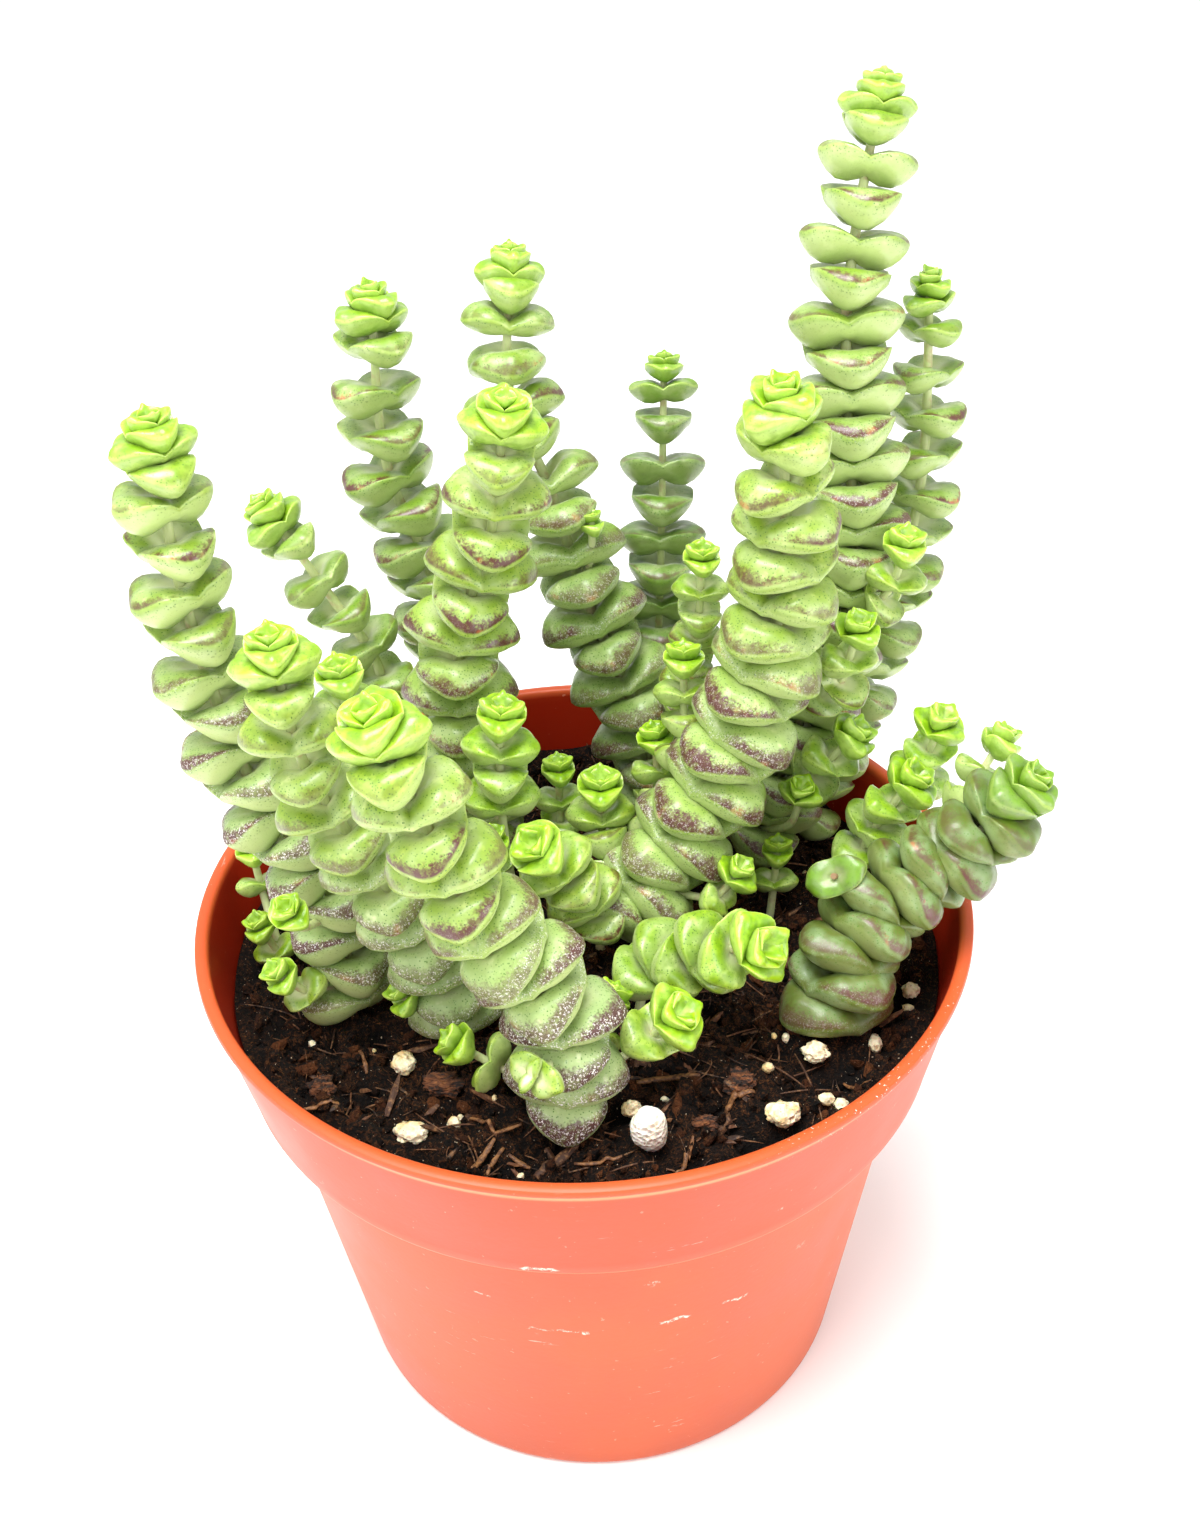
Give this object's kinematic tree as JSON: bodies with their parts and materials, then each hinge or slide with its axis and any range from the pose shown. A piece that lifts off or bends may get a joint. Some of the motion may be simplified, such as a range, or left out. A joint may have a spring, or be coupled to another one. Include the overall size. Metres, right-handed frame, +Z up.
{
  "type": "potted baby necklace crassula",
  "caption": "Baby necklace crassula in a tapered plastic nursery pot: fleshy leaf pairs stacked like beads on upright stems, with young side shoots, soil, perlite and bark.",
  "frame": {"origin": "centre of the pot's underside, on the surface that the pot stands on", "axes": "+Z up; -Y towards the side that the picture shows, +X to its right"},
  "size_m": [0.1147, 0.1084, 0.1794],
  "materials": {
    "pot_plastic": "moulded satin",
    "soil": "loose peat, matt",
    "leaf": "fleshy leaf, satin",
    "young_leaf": "fleshy young leaf, satin",
    "perlite": "rough mineral grain",
    "bark": "raw bark"
  },
  "bodies": {
    "root": {"bark_front": "bark", "bark_left": "bark", "bark_middle": "bark", "bark_right": "bark", "perlite_back_left": "perlite", "perlite_front": "perlite", "perlite_front_left": "perlite", "perlite_front_right": "perlite", "perlite_left": "perlite", "perlite_middle": "perlite", "perlite_right": "perlite", "perlite_rim": "perlite", "pot": "pot_plastic", "soil": "soil", "sprout_centre": "young_leaf", "sprout_front_right": "young_leaf", "sprout_left_back": "young_leaf", "sprout_left_rim": "young_leaf", "sprout_middle": "young_leaf", "sprout_right": "young_leaf", "sprout_right_inner": "young_leaf", "stem_back_centre": "leaf", "stem_back_left": "leaf", "stem_back_small": "leaf", "stem_centre": "leaf", "stem_front_left": "leaf", "stem_front_right": "leaf", "stem_left_low": "leaf", "stem_left_small": "leaf", "stem_left_tall": "leaf", "stem_right_back": "leaf", "stem_right_low": "leaf", "stem_right_tall": "leaf"}
  },
  "joints": []
}
